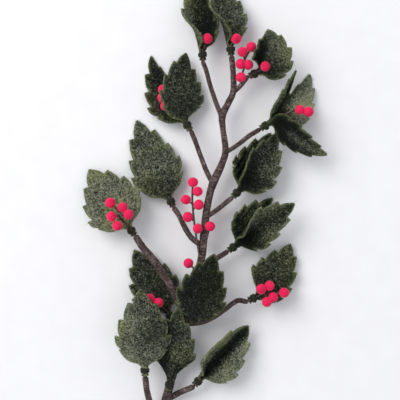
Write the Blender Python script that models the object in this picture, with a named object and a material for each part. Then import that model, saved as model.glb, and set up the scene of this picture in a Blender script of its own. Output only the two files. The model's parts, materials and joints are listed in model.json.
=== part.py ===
"""A holly sprig made of felt, lying on a surface.

A wire stem wrapped in brown tape carries twigs. Thick felt leaves with cut teeth are gathered
round the twig ends and bound with thread, and round berries sit on short stalks.

Lengths are in millimetres and angles in degrees until a mesh is made. +Y runs from the cut end
of the stem to its tip and +Z is up. The origin is under the middle of the sprig, on the surface
that it lies on."""

import math

import bmesh
import bpy
import numpy as np
from mathutils import Matrix, Vector

MM = 0.001
GAP = 0.3

# Felt leaves: a narrow tab, which is tied to the twig, and a toothed blade.
LEAF_LENGTH = 62.5
LEAF_HALF_WIDTH = 21.0
BLADE_START = 9.0
FELT = 2.0
TAB_FELT = 1.0
RIB_STEP = 0.5
SPREAD_FROM = 5.8
SHOULDER = 0.8
THICKEN_LENGTH = 8.0

# A blade's outline. Places are shares of the blade's length.
WIDEST = 0.28
BASE_FULLNESS = 0.55
TIP_TAPER = 1.8
TIP_FULLNESS = 0.9
BASE_PLACES = (0.015, 0.06)
TOOTH_PLACES = (0.16, 0.36, 0.57, 0.79)
TIP_PLACE = 0.91
TIP_HALF_WIDTH = 0.7
STAGGER = 0.012
LOBE_SHARE = 0.55
LOBE_DIP = 0.9
TOOTH_DEPTH = 3.4
TOOTH_POINT = (-1.0, 1.3)
TOOTH_NOTCH = (0.6, 0.9)

# How a blade bends, in lengths along the rib: the lean next to the tie, the arch beyond it, and
# the reach of the turned-up margins and of the furl.
LEAN_FROM = 6.5
LEAN_LENGTH = 12.0
ARCH_FROM = 16.0
LIP_FROM = 10.0
LIP_REACH = 20.0
FURL_REACH = 36.0
FURL_CREASE = 3.0
SECTION_STEPS = 12

# Where leaves are tied to a twig.
TWIG_TIP_RADIUS = 1.1
TAB_PLAY = 0.2
TAB_RADIUS = TWIG_TIP_RADIUS + GAP + TAB_PLAY + TAB_FELT / 2
THREAD_THICKNESS = 0.9
TIE_ALONG_TAB = 4.0
TIE_HALF_LENGTH = 2.0
TIE_FLAT_HALF_LENGTH = 1.2
TIE_INNER_RADIUS = TAB_RADIUS + TAB_FELT / 2 + 2 * GAP
TIE_OUTER_RADIUS = TIE_INNER_RADIUS + THREAD_THICKNESS
TWIG_PAST_TIE = 3.6
TAPE_TO_TIE = 6.2
CLOSE = 6.0
MIDDLE_X = -0.9

# Wires inside the tape.
MAIN_WIRE_RADIUS = 1.2
TWIG_WIRE_RADIUS = 0.5
WIRE_SHORT = 1.4
WIRE_PROUD = 1.0

# Berries.
BERRY_RADIUS = 4.0
BERRY_SEGMENTS = 8
BERRY_RINGS = 5
STALK_RADIUS = 0.8

STEM_SIDES = 8
WIRE_SIDES = 4
STALK_SIDES = 5
TIE_SIDES = 10
SAMPLE_STEP = 10.0

# Each path is a list of (x, y, z, tape radius), from the root outwards.
MAIN_STEM = [
    (-38, -185, 3.6, 3.6),
    (-36, -168, 4.0, 3.4),
    (-31, -147, 6.0, 3.5),
    (-22, -113, 10.0, 3.3),
    (-14, -83, 14.0, 3.4),
    (-8, -57, 16.0, 3.2),
    (-3, -35, 17.0, 3.1),
    (-1, -17, 17.0, 3.1),
    (1, 2, 17.0, 2.9),
    (4, 17, 17.0, 2.9),
    (7, 26, 17.0, 3.3),
    (13, 39, 16.5, 2.8),
    (16, 50, 16.0, 2.6),
    (14, 67, 15.5, 2.3),
    (13.5, 77, 15.5, 2.9),
    (18, 87, 15.5, 2.6),
    (22, 96, 16.0, 2.5),
    (22, 110, 16.5, 2.3),
    (21.5, 121, 17.0, 2.2),
]

# Twigs: root path, then the place where the leaves are tied on. The last leg of each path points
# along the twig's end.
TWIGS = {
    "a": [(13, 76, 15.5, 1.9), (8, 89, 16, 1.9), (4, 101, 16, 1.8), (1, 112, 16, 1.8), (-1, 120, 16, 1.8)],
    "c": [(21.5, 95, 16, 1.9), (28, 101, 16, 1.9), (33, 107.5, 16, 1.8)],
    "d": [(6, 24, 17, 2.1), (1, 34, 16.5, 2.0), (-4, 47, 16, 1.9), (-8, 58, 15, 1.9), (-11, 65, 14.5, 1.9)],
    "e": [(15.7, 48, 16, 1.7), (25, 54, 17, 1.8), (34, 61, 18, 1.9), (42, 66, 19, 1.9)],
    "f": [(-2, -25, 17, 2.2), (-10, -19, 16, 2.2), (-15, -12, 15, 2.2), (-20, -2, 14, 2.1),
          (-24, 5, 13, 2.1)],
    "g": [(1, -2, 17, 1.9), (10, 4, 16, 1.9), (16, 9, 15, 1.9), (20, 12.5, 14.5, 1.9)],
    "h": [(-5, -45, 17, 2.1), (2, -39, 16, 2.1), (10, -34, 15, 2.1), (16, -30, 14.5, 2.0)],
    "i": [(-14, -83, 14, 2.8), (-21, -68, 16.5, 3.0), (-28, -54, 20, 3.0), (-38, -38, 22, 3.0),
          (-48, -26, 22, 2.8), (-55, -17, 21, 2.6)],
    "j": [(-21, -109, 10.5, 1.8), (-24, -95, 9, 1.8), (-26, -85, 9, 1.8)],
    "k": [(-8.2, -85.2, 14.4, 1.8)],
    "l": [(-36, -168, 4, 2.4), (-42, -152, 13, 2.5), (-45, -138, 22, 2.4), (-46.5, -127, 26, 2.4)],
    "m": [(-33, -155, 5.5, 2.3), (-29, -142, 14, 2.2)],
    "n": [(-15, -86, 14, 2.0), (-4, -85, 15, 2.0), (6, -81, 15.5, 2.0), (15, -75, 15, 2.0),
          (25, -68, 14.5, 2.0), (32, -67, 14, 2.0)],
    "o": [(-31, -148, 6, 2.4), (-22, -142, 9, 2.4), (-13, -135, 11.5, 2.3)],
}

# Tie points: (x, y, z), heading and pitch of the twig end.
TIES = {
    "a": ((-2, 125, 16), 95, 0),
    "b": ((20, 129, 17), 97, 0),
    "c": ((38.5, 110, 16), 26, 6),
    "d": ((-14, 70, 14), 121, -2),
    "e": ((47, 69, 20), 32, 8),
    "f": ((-27, 10, 12), 117, -2),
    "g": ((25, 17, 14), 45, 0),
    "h": ((22, -26, 14), 36, 0),
    "i": ((-57.5, -12.5, 20), 126, -4),
    "j": ((-28, -80, 9), 119, -4),
    "k": ((-8.6, -81, 22), 73, 60),
    "l": ((-46.5, -120, 27), 93, 2),
    "m": ((-28, -133, 17.2), 83, 3),
    "n": ((38, -66, 14), 24, 0),
    "o": ((-5.5, -131.5, 12), 47, 2),
}

# What a leaf has unless its entry says otherwise.
#   wrap      how far the tab reaches round the twig on each side
#   roll      turn about the twig: 0 lies under it, hollow face up; 180 lies over it, back up
#   lean      how far the blade tips away from the twig
#   arch      how far the blade curls back towards its hollow face by the tip
#   veer      how far the blade swings to its right by the tip
#   fold      how far the left and right edges are folded up from the rib
#   crease    how near the rib each half folds
#   lip       how far the margins turn up near the tie
#   furl      how far each whole half turns up near the tie
#   sway      how far only the outer part of the blade swings to its right
#   open      the length over which each half opens out from the curled tab
LEAF_DEFAULTS = {
    "wrap": 110,
    "roll": 0,
    "lean": 0,
    "arch": 0,
    "veer": 0,
    "sway": 0,
    "fold": (14, 14),
    "crease": (1.0, 1.0),
    "lip": (45, 45),
    "furl": (0, 0),
    "open": (4.5, 4.5),
    "long": 1.0,
    "wide": (1.0, 1.0),
}
LEAVES = {
    "leaf_a": {"tie": "a", "wrap": 116, "roll": -14, "lean": 8, "fold": (48, 62), "crease": (1.2, 1.6),
               "lip": (10, 10), "open": (34, 5), "wide": (0.8, 0.84)},
    "leaf_b": {"tie": "b", "wrap": 114, "roll": -16, "lean": 8, "fold": (66, 40), "crease": (1.4, 1.4),
               "lip": (10, 10), "open": (34, 5), "wide": (0.84, 0.84)},
    "leaf_c": {"tie": "c", "roll": -8, "lean": -18, "veer": -78, "arch": 24, "fold": (90, 12),
               "crease": (1.4, 1.0), "lip": (30, 0), "open": (14, 5), "long": 0.74, "wide": (0.8, 0.94)},
    "leaf_d_under": {"tie": "d", "wrap": 74, "roll": 0, "lean": 18, "veer": 5, "fold": (12, -20),
                     "lip": (24, 0), "long": 1.12, "wide": (1.0, 0.3)},
    "leaf_d_over": {"tie": "d", "wrap": 74, "roll": 155, "veer": -46, "lean": 8, "fold": (-12, -8),
                    "lip": (0, 0), "wide": (0.9, 0.84)},
    "leaf_e_left": {"tie": "e", "wrap": 38, "roll": -68, "lean": 24, "veer": -12, "arch": -18,
                    "fold": (4, -20), "lip": (0, 0), "open": (8, 5), "long": 0.84, "wide": (0.62, 0.05)},
    "leaf_e_far": {"tie": "e", "wrap": 38, "roll": 22, "lean": 30, "veer": -42, "arch": 14, "fold": (-10, 0),
                   "lip": (0, 0), "long": 1.04, "wide": (0.42, 0.86)},
    "leaf_e_over": {"tie": "e", "wrap": 40, "roll": 170, "lean": 36, "veer": -150, "sway": 84, "arch": 64,
                    "fold": (-16, -10), "lip": (0, 0), "furl": (0, 24), "wide": (0.5, 0.54)},
    "leaf_f": {"tie": "f", "lean": 9, "veer": 6, "long": 1.2},
    "leaf_g_under": {"tie": "g", "wrap": 76, "roll": 0, "lean": 16, "veer": -24, "fold": (40, -32),
                     "lip": (0, 0), "long": 0.97, "wide": (0.92, 0.7)},
    "leaf_g_over": {"tie": "g", "wrap": 76, "roll": 180, "veer": 18, "lean": 5, "arch": 16,
                    "fold": (-8, -50), "crease": (1.0, 1.8), "lip": (0, 0), "furl": (0, -70), "open": (7, 5),
                    "long": 0.96, "wide": (0.92, 0.7)},
    "leaf_h_under": {"tie": "h", "wrap": 76, "roll": 0, "lean": 14, "veer": -24, "fold": (50, -20),
                     "lip": (0, 0), "long": 0.88, "wide": (1.0, 0.3)},
    "leaf_h_over": {"tie": "h", "wrap": 76, "roll": 180, "lean": 8, "fold": (-8, -44), "crease": (1.0, 1.8),
                    "lip": (0, 0), "furl": (0, -90), "open": (12, 5), "wide": (0.74, 0.86)},
    "leaf_i": {"tie": "i", "lean": 10, "fold": (10, 10), "long": 1.03, "wide": (1.15, 1.15)},
    "leaf_j": {"tie": "j", "fold": (12, 12), "wide": (0.96, 0.96)},
    "leaf_k": {"tie": "k", "roll": 180, "lean": -54, "arch": 8, "fold": (16, 16), "lip": (20, 20),
               "wide": (0.95, 0.95)},
    "leaf_l": {"tie": "l", "roll": 176, "arch": 14, "fold": (16, 16), "long": 1.06, "wide": (1.05, 1.05)},
    "leaf_m": {"tie": "m", "wrap": 80, "roll": 180, "lean": 2, "fold": (22, 22), "lip": (0, 0),
               "open": (24, 28), "long": 1.04, "wide": (0.86, 0.9)},
    "leaf_n": {"tie": "n", "lean": 10, "veer": -50, "lip": (15, 15), "long": 0.92, "wide": (1.0, 0.76)},
    "leaf_o": {"tie": "o", "roll": -20, "fold": (60, 60), "crease": (1.8, 1.8), "open": (14, 14),
               "wide": (1.05, 1.05)},
}

# Each spray: the tie that its stalk starts at, or none; its berries as (x, y, z); its stalks.
BERRIES = {
    "berries_a": ("a", [(1.8, 136.9, 20.0)], [[(1.8, 136.9, 20.0)]]),
    "berries_b": ("b", [(24.2, 136.6, 20.8)], [[(24.2, 136.6, 20.8)]]),
    "berries_c": ("c", [(46.6, 114.8, 22.8)], [[(46.6, 114.8, 22.8)]]),
    "berries_d": (
        "d",
        [(-33, 98, 14), (-33.5, 91.5, 14), (-31, 85, 14)],
        [[(-24, 79.5, 13), (-31, 85, 14), (-33.5, 91.5, 14), (-33, 98, 14)]],
    ),
    "berries_e": (
        "e",
        [(73, 80.8, 26), (79.8, 79.4, 26)],
        [[(60, 76.8, 21.6), (67, 80, 23.5), (73, 80.8, 26), (79.8, 79.4, 26)]],
    ),
    "berries_i": (
        "i",
        [(-73, 9, 28.5), (-63.5, 5.5, 29.5), (-72, -1.5, 29.5), (-59, 0, 30.5), (-67.5, -8.5, 30.5)],
        [
            [(-64.4, -4, 24), (-66.6, -1, 28), (-67, 3, 28), (-73, 9, 28)],
            [(-66.6, -1, 28), (-63.5, 5.5, 29)],
            [(-66.6, -1, 28), (-72, -1.5, 29)],
            [(-66.6, -1, 28), (-59, 0, 30)],
            [(-66.6, -1, 28), (-67.5, -8.5, 30)],
        ],
    ),
    "berries_j": ("j", [(-43, -66, 17), (-36.5, -69, 18)], [[(-36.5, -69, 18), (-43, -66, 17)]]),
    "berries_k": (None, [(-13, -38, 20)], [[(-7, -47, 20.6), (-9, -42, 21), (-13, -38, 20)]]),
    "berries_left": (
        None,
        [(-9.5, 25, 20), (-5.8, 17.8, 21), (-15, 11.5, 21), (-5, 7.5, 22), (-13.5, -2, 21), (-5.8, -11, 23)],
        [
            [(-4.8, -30, 20.6), (-6.6, -20, 21), (-8.5, -6, 20.5), (-10, 12, 19.5), (-9.5, 25, 20)],
            [(-10, 15, 19.5), (-5.8, 17.8, 21)],
            [(-9.6, 8, 19.8), (-15, 11.5, 21)],
            [(-9.4, 4, 20), (-5, 7.5, 22)],
            [(-8.6, -5, 20.5), (-13.5, -2, 21)],
            [(-7.4, -14, 20.7), (-5.8, -11, 23)],
        ],
    ),
    "berries_n": (
        "n",
        [(43.5, -58, 22), (50, -55.5, 21), (61.5, -61, 20), (48, -68, 22), (53, -64.5, 19)],
        [
            [(45, -62, 18), (53, -62, 19), (61.5, -61, 20)],
            [(46, -62, 18), (43.5, -58, 22)],
            [(49, -62, 18.5), (50, -55.5, 21)],
            [(47, -62, 18.2), (48, -68, 22)],
            [(51, -62, 19), (53, -64.5, 19)],
        ],
    ),
    "berries_right": (
        None,
        [(3.8, -9.2, 23.8)],
        [[(-1.4, -31, 21.4), (1, -20, 22), (2.4, -14, 22.6), (3.8, -9.2, 23.8)]],
    ),
    "berries_top": (
        None,
        [(27.8, 106.6, 21.5), (27.5, 117, 21), (33.5, 116.5, 20), (29, 126.4, 21), (36, 130.4, 20)],
        [
            [(28, 103, 18.3), (27.8, 106.6, 21.5), (30, 113, 18), (31, 120.6, 18), (34, 126.6, 18),
             (36, 130.4, 20)],
            [(30.2, 113.6, 18), (27.5, 117, 21)],
            [(30.2, 113.6, 18), (33.5, 116.5, 20)],
            [(31, 120.6, 18), (29, 126.4, 21)],
        ],
    ),
}


# ---------------------------------------------------------------- curves and tubes


def smooth_path(points, step=SAMPLE_STEP):
    """Points on a Catmull-Rom curve through the given ones, about one step apart."""
    knots = [np.array(p, float) for p in points]
    ends = [2 * knots[0] - knots[1], *knots, 2 * knots[-1] - knots[-2]]
    made = [knots[0]]
    for a, b, c, d in zip(ends, ends[1:], ends[2:], ends[3:]):
        count = max(1, round(float(np.linalg.norm((c - b)[:3])) / step))
        for i in range(1, count + 1):
            t = i / count
            made.append(
                0.5 * (2 * b + (c - a) * t + (2 * a - 5 * b + 4 * c - d) * t**2
                       + (3 * b - a - 3 * c + d) * t**3)
            )
    return [tuple(float(n) for n in p) for p in made]


def smooth(t):
    """0 up to 1 as t goes from 0 to 1, level at both ends."""
    t = min(max(t, 0.0), 1.0)
    return t * t * (3 - 2 * t)


def direction(heading, pitch):
    """The unit vector with this heading (from +X, anticlockwise) and this angle above level."""
    h, p = math.radians(heading), math.radians(pitch)
    return Vector((math.cos(h) * math.cos(p), math.sin(h) * math.cos(p), math.sin(p)))


def tube(path, sides):
    """A closed tube along (x, y, z, radius) points, as a bmesh in millimetres."""
    made = bmesh.new()
    centres = [Vector(p[:3]) for p in path]
    tangents = [
        (centres[min(i + 1, len(path) - 1)] - centres[max(i - 1, 0)]).normalized()
        for i in range(len(path))
    ]
    across = tangents[0].orthogonal().normalized()
    rings = []
    for point, centre, tangent in zip(path, centres, tangents):
        across = (across - across.dot(tangent) * tangent).normalized()
        up = tangent.cross(across)
        ring = []
        for k in range(sides):
            a = 2 * math.pi * k / sides
            ring.append(made.verts.new(centre + point[3] * (math.cos(a) * across + math.sin(a) * up)))
        rings.append(ring)
    for first, second in zip(rings, rings[1:]):
        for k in range(sides):
            n = (k + 1) % sides
            made.faces.new((first[k], first[n], second[n], second[k]))
    made.faces.new(list(reversed(rings[0])))
    made.faces.new(rings[-1])
    return made


# ---------------------------------------------------------------- objects and materials


def material(name, colour, roughness, metallic=0.0):
    """A plain finish with this colour."""
    made = bpy.data.materials.new(name)
    made.use_nodes = True
    shader = made.node_tree.nodes["Principled BSDF"]
    shader.inputs["Base Color"].default_value = (*colour, 1.0)
    shader.inputs["Roughness"].default_value = roughness
    shader.inputs["Metallic"].default_value = metallic
    return made


def place(name, shape, finish):
    """The bmesh as an object of this name, in metres from the middle of the sprig."""
    bmesh.ops.recalc_face_normals(shape, faces=shape.faces)
    bmesh.ops.translate(shape, vec=(-MIDDLE_X, 0, 0), verts=shape.verts)
    mesh = bpy.data.meshes.new(name)
    bmesh.ops.scale(shape, vec=(MM, MM, MM), verts=shape.verts)
    shape.to_mesh(mesh)
    shape.free()
    mesh.materials.append(finish)
    made = bpy.data.objects.new(name, mesh)
    bpy.context.scene.collection.objects.link(made)
    return made


def apply_boolean(target, operation, tool):
    """Joins the tool collection to the target, or cuts the tool object from it, and keeps the result."""
    modifier = target.modifiers.new("join", "BOOLEAN")
    modifier.operation = operation
    modifier.solver = "EXACT"
    if isinstance(tool, bpy.types.Collection):
        modifier.operand_type = "COLLECTION"
        modifier.collection = tool
    else:
        modifier.object = tool
    graph = bpy.context.evaluated_depsgraph_get()
    mesh = bpy.data.meshes.new_from_object(target.evaluated_get(graph))
    target.modifiers.clear()
    old = target.data
    target.data = mesh
    bpy.data.meshes.remove(old)


def fuse(name, shapes, finish):
    """One solid made of overlapping bmeshes by a Boolean union."""
    body = place(name, shapes[0], finish)
    if len(shapes) == 1:
        return body
    others = bpy.data.collections.new(name + "_parts")
    bpy.context.scene.collection.children.link(others)
    for k, shape in enumerate(shapes[1:]):
        piece = place(f"{name}_part_{k}", shape, finish)
        bpy.context.scene.collection.objects.unlink(piece)
        others.objects.link(piece)
    apply_boolean(body, "UNION", others)
    for piece in list(others.objects):
        bpy.data.objects.remove(piece)
    bpy.data.collections.remove(others)
    return body


# ---------------------------------------------------------------- stem and wires


def tie_frame(tie):
    """The tie point and the unit vectors along the twig, to its right and up from it."""
    point, heading, pitch = TIES[tie]
    along = direction(heading, pitch)
    right = Vector((math.sin(math.radians(heading)), -math.cos(math.radians(heading)), 0))
    return Vector(point), along, right, right.cross(along)


def twig_path(tie):
    """The path of a twig through its tie, with the tape thinned where the leaves are bound on."""
    path = list(MAIN_STEM if tie == "b" else TWIGS[tie])
    point, along, _, _ = tie_frame(tie)
    radius = path[-1][3]
    start = point - TAPE_TO_TIE * along
    while len(path) > 1 and (Vector(path[-1][:3]) - start).length < CLOSE:
        path.pop()
    path.append((*start, radius))
    path = smooth_path(path)
    path.append((*(point - (TIE_ALONG_TAB + 2 * GAP) * along), TWIG_TIP_RADIUS))
    path.append((*(point + TWIG_PAST_TIE * along), TWIG_TIP_RADIUS))
    return path


def wire_path(path, radius, extra, back):
    """The path of the wire inside a tape, made thicker by extra and starting further back.

    It is thinned where the leaves are tied on and stops inside the tape's far end."""
    thin = TWIG_WIRE_RADIUS + extra
    last = Vector(path[-1][:3])
    end = last - (WIRE_SHORT - extra) * (last - Vector(path[-2][:3])).normalized()
    first = Vector(path[0][:3])
    first += back * (first - Vector(path[1][:3])).normalized()
    made = [(*first, radius + extra)] + [(*p[:3], radius + extra) for p in path[1:-2]]
    return made + [(*path[-2][:3], thin), (*end, thin)]


# ---------------------------------------------------------------- leaves


def envelope(place):
    """Share of a blade's half width that its teeth reach, at a place along it."""
    rise = min(place / WIDEST, 1.0)
    fall = max((place - WIDEST) / (1 - WIDEST), 0.0)
    return math.sin(math.pi / 2 * rise) ** BASE_FULLNESS * (1 - fall**TIP_TAPER) ** TIP_FULLNESS


def leaf_margin(side, length, wide, tab):
    """One side of a leaf's outline, from the end of the tab to the tip.

    Each entry has two lengths along the rib, one for the middle of its row and one for its edge,
    and how far out the edge is."""
    blade = length - BLADE_START
    half_width = LEAF_HALF_WIDTH * wide
    shallow = min(wide, 1.0)
    margin = [(u, u, tab) for u in (0.0, SPREAD_FROM, BLADE_START - SHOULDER)]
    for place in BASE_PLACES:
        u = BLADE_START + place * blade
        margin.append((u, u, half_width * envelope(place)))
    before = BASE_PLACES[-1]
    for tooth in TOOTH_PLACES:
        place = (1 - LOBE_SHARE) * before + LOBE_SHARE * tooth + STAGGER * side
        u = BLADE_START + place * blade
        margin.append((u, u, half_width * envelope(place) - LOBE_DIP * shallow))
        place = tooth + STAGGER * side
        u = BLADE_START + place * blade
        out = half_width * envelope(place)
        margin.append((u + TOOTH_POINT[0], u + TOOTH_POINT[1], out))
        margin.append((u + TOOTH_NOTCH[0], u + TOOTH_NOTCH[1], out - TOOTH_DEPTH * shallow))
        before = tooth
    u = BLADE_START + TIP_PLACE * blade
    margin.append((u, u, half_width * TIP_FULLNESS * envelope(TIP_PLACE)))
    margin.append((length, length, TIP_HALF_WIDTH))
    return margin


def leaf_rows(form, length):
    """The points of a leaf's flat cut as rows of (along, across) pairs, from left edge to right."""
    tab = TAB_RADIUS * math.radians(form["wrap"])
    left, right = (leaf_margin(side, length, wide, tab) for side, wide in zip((-1, 1), form["wide"]))
    rows = []
    for (rib_left, u_left, w_left), (rib_right, u_right, w_right) in zip(left, right):
        rib = (rib_left + rib_right) / 2
        row = [(rib, -w_left / 2), (rib, 0.0), (rib, w_right / 2)]
        rows.append([(u_left, -w_left), *row, (u_right, w_right)])
    return rows


def rib_frames(form, length):
    """Points and frames (along, right, up), one for each step along a leaf's rib."""
    centre, along, right, up = tie_frame(form["tie"])
    turn = Matrix.Rotation(math.radians(-form["roll"]), 3, along)
    right, up = turn @ right, turn @ up
    point = centre - TIE_ALONG_TAB * along - TAB_RADIUS * up
    frames = []
    for k in range(int(length / RIB_STEP) + 2):
        u = k * RIB_STEP
        frames.append((point.copy(), along.copy(), right.copy(), up.copy()))
        near = 1 / LEAN_LENGTH if LEAN_FROM <= u < LEAN_FROM + LEAN_LENGTH else 0.0
        far = 1 / (length - ARCH_FROM) if u >= ARCH_FROM else 0.0
        pitch = math.radians((form["arch"] * far - form["lean"] * near) * RIB_STEP)
        veer = math.radians((form["veer"] * (near + far) / 2 + form["sway"] * far) * RIB_STEP)
        turn = Matrix.Rotation(pitch, 3, right) @ Matrix.Rotation(-veer, 3, up)
        point = point + along * RIB_STEP
        along, right, up = turn @ along, turn @ right, turn @ up
    return frames


def slope(w, u, form, half):
    """How steeply the felt is turned up at w out from the rib, in radians."""
    blend = smooth((u - SPREAD_FROM) / form["open"][half])
    tab = min(w / TAB_RADIUS, math.radians(form["wrap"]))
    share = min(w / LEAF_HALF_WIDTH, 1.0)
    blade = math.radians(form["fold"][half]) * (1 - (1 - share) ** form["crease"][half])
    lip = math.radians(form["lip"][half]) * smooth(2 * share - 1)
    lip *= 1 - smooth((u - LIP_FROM) / LIP_REACH)
    furl = math.radians(form["furl"][half]) * (1 - (1 - share) ** FURL_CREASE)
    furl *= 1 - smooth((u - LIP_FROM) / FURL_REACH)
    return (1 - blend) * tab + blend * (blade + lip + furl)


def section(v, u, form):
    """Where a point at v across the felt lies, at u along the rib: (right, up, slope in radians)."""
    side = 1.0 if v >= 0 else -1.0
    half = int(v >= 0)
    step = abs(v) / SECTION_STEPS
    x = z = 0.0
    for k in range(SECTION_STEPS):
        angle = slope((k + 0.5) * step, u, form, half)
        x += math.cos(angle) * step
        z += math.sin(angle) * step
    return side * x, z, side * slope(abs(v), u, form, half)


def felt_faces(u, v, form, frames):
    """The points of the upper and lower face over (u, v) on a leaf, raised clear of the surface."""
    nearest = round(u / RIB_STEP)
    point, along, across, up = frames[nearest]
    x, z, angle = section(v, u, form)
    normal = math.cos(angle) * up - math.sin(angle) * across
    middle = point + along * (u - RIB_STEP * nearest) + x * across + z * up
    half = (TAB_FELT + (FELT - TAB_FELT) * smooth((u - SPREAD_FROM) / THICKEN_LENGTH)) / 2
    middle.z += max(0.0, abs(normal.z) * half - middle.z)
    return middle + half * normal, middle - half * normal


def leaf(name, finish):
    """A leaf as one sheet of felt, with both faces split into triangles alike."""
    form = {**LEAF_DEFAULTS, **LEAVES[name]}
    length = LEAF_LENGTH * form["long"]
    frames = rib_frames(form, length)
    rows = leaf_rows(form, length)
    columns = len(rows[0])
    shape = bmesh.new()
    top, under = [], []
    for row in rows:
        pairs = [felt_faces(u, v, form, frames) for u, v in row]
        top.append([shape.verts.new(upper) for upper, _ in pairs])
        under.append([shape.verts.new(lower) for _, lower in pairs])
    for grid in (top, under):
        for first, second in zip(grid, grid[1:]):
            for k in range(columns - 1):
                quad = (first[k], first[k + 1], second[k + 1], second[k])
                halves = ((0, 1, 3), (1, 2, 3)) if k < columns // 2 else ((0, 1, 2), (0, 2, 3))
                for corners in halves:
                    shape.faces.new([quad[c] for c in corners])
    last = len(rows) - 1
    rim = [(i, 0) for i in range(last)] + [(last, k) for k in range(columns - 1)]
    rim += [(i, columns - 1) for i in range(last, 0, -1)] + [(0, k) for k in range(columns - 1, 0, -1)]
    for (i, k), (j, m) in zip(rim, rim[1:] + rim[:1]):
        shape.faces.new((top[i][k], under[i][k], under[j][m]))
        shape.faces.new((top[i][k], under[j][m], top[j][m]))
    return place(name, shape, finish)


# ---------------------------------------------------------------- ties


def thread_tie(tie, finish):
    """The ring of thread that binds the leaf tabs to the twig."""
    point, along, right, up = tie_frame(tie)
    profile = [
        (TIE_INNER_RADIUS, -TIE_HALF_LENGTH),
        (TIE_OUTER_RADIUS, -TIE_FLAT_HALF_LENGTH),
        (TIE_OUTER_RADIUS, TIE_FLAT_HALF_LENGTH),
        (TIE_INNER_RADIUS, TIE_HALF_LENGTH),
    ]
    shape = bmesh.new()
    rings = []
    for k in range(TIE_SIDES):
        a = 2 * math.pi * k / TIE_SIDES
        out = math.cos(a) * right + math.sin(a) * up
        rings.append([shape.verts.new(point + r * out + h * along) for r, h in profile])
    for k in range(TIE_SIDES):
        first, second = rings[k], rings[(k + 1) % TIE_SIDES]
        for i in range(4):
            n = (i + 1) % 4
            shape.faces.new((first[i], first[n], second[n], second[i]))
    return place("tie_" + tie, shape, finish)


# ---------------------------------------------------------------- berries


def berry(centre):
    """A ball with few sides."""
    shape = bmesh.new()
    bmesh.ops.create_uvsphere(shape, u_segments=BERRY_SEGMENTS, v_segments=BERRY_RINGS, radius=BERRY_RADIUS)
    bmesh.ops.translate(shape, vec=centre, verts=shape.verts)
    return shape


def spray(name, finish):
    """The berries of one spray, fused with their stalks."""
    tie, centres, stalks = BERRIES[name]
    shapes = [berry(c) for c in centres]
    if tie:
        point, along, _, _ = tie_frame(tie)
        root = point + (TWIG_PAST_TIE + GAP + STALK_RADIUS) * along
        stalks = [[tuple(root), *stalks[0]], *stalks[1:]]
    for path in stalks:
        shapes.append(tube([(*p, STALK_RADIUS) for p in path], STALK_SIDES))
    return fuse(name, shapes, finish)


# ---------------------------------------------------------------- the whole sprig


def main():
    for old in list(bpy.data.objects):
        bpy.data.objects.remove(old)
    felt = material("green_felt", (0.075, 0.085, 0.05), 0.95)
    tape = material("brown_tape", (0.13, 0.09, 0.085), 0.7)
    thread = material("dark_thread", (0.03, 0.04, 0.025), 0.9)
    steel = material("steel_wire", (0.5, 0.5, 0.5), 0.35, 1.0)
    berry_red = material("red_berry", (0.75, 0.02, 0.07), 0.6)

    paths = {tie: twig_path(tie) for tie in TIES}
    order = ["b"] + [tie for tie in TIES if tie != "b"]
    stem = fuse("stem_tape", [tube(paths[t], STEM_SIDES) for t in order], tape)
    wires = []
    holes = []
    for tie in order:
        radius, back = (MAIN_WIRE_RADIUS, WIRE_PROUD) if tie == "b" else (TWIG_WIRE_RADIUS, 0.0)
        wires.append(tube(wire_path(paths[tie], radius, 0.0, back), WIRE_SIDES))
        holes.append(tube(wire_path(paths[tie], radius, GAP, 2 * back + GAP), WIRE_SIDES))
    fuse("core_wire", wires, steel)
    hole = fuse("hole", holes, steel)
    apply_boolean(stem, "DIFFERENCE", hole)
    bpy.data.objects.remove(hole)
    for name in LEAVES:
        leaf(name, felt)
    for tie in TIES:
        thread_tie(tie, thread)
    for name in BERRIES:
        spray(name, berry_red)


main()
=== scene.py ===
"""The looks of a felt holly sprig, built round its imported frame.

Lengths are in millimetres and angles in degrees until a mesh is made. The tables are the ones
that the frame was made from, and every piece stands where its frame node does."""

import json
import math

import bmesh
import bpy
import numpy as np
from mathutils import Matrix, Vector, noise
from mathutils.geometry import delaunay_2d_cdt

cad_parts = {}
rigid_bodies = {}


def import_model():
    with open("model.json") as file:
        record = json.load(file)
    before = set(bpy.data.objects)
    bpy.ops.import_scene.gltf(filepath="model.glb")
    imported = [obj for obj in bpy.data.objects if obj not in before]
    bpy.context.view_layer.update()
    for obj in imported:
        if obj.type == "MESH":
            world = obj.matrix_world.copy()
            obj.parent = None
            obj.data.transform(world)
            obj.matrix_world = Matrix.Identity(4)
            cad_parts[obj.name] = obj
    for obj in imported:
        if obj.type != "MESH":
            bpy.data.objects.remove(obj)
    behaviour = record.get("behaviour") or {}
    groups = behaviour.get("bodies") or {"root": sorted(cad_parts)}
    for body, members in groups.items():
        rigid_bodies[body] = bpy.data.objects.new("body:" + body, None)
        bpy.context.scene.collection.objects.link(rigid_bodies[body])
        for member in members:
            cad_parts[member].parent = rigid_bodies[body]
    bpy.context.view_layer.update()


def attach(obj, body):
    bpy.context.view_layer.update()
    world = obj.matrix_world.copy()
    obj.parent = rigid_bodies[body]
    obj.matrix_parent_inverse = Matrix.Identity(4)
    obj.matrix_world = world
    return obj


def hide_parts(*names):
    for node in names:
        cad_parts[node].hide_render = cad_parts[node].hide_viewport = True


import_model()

BODY = "root"
MM = 0.001
MIDDLE_X = -0.9

# The least height over the surface of any point, and of a leaf's.
LOWEST = 0.02
FELT_LOWEST = 0.03

# Felt leaves: a narrow tab, which is tied to the twig, and a toothed blade.
LEAF_LENGTH = 62.5
LEAF_HALF_WIDTH = 21.0
BLADE_START = 9.0
FELT = 2.0
TAB_FELT = 1.0
RIB_STEP = 0.5
SPREAD_FROM = 5.8
SHOULDER = (0.8, 0.2)
THICKEN_LENGTH = 8.0

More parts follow.
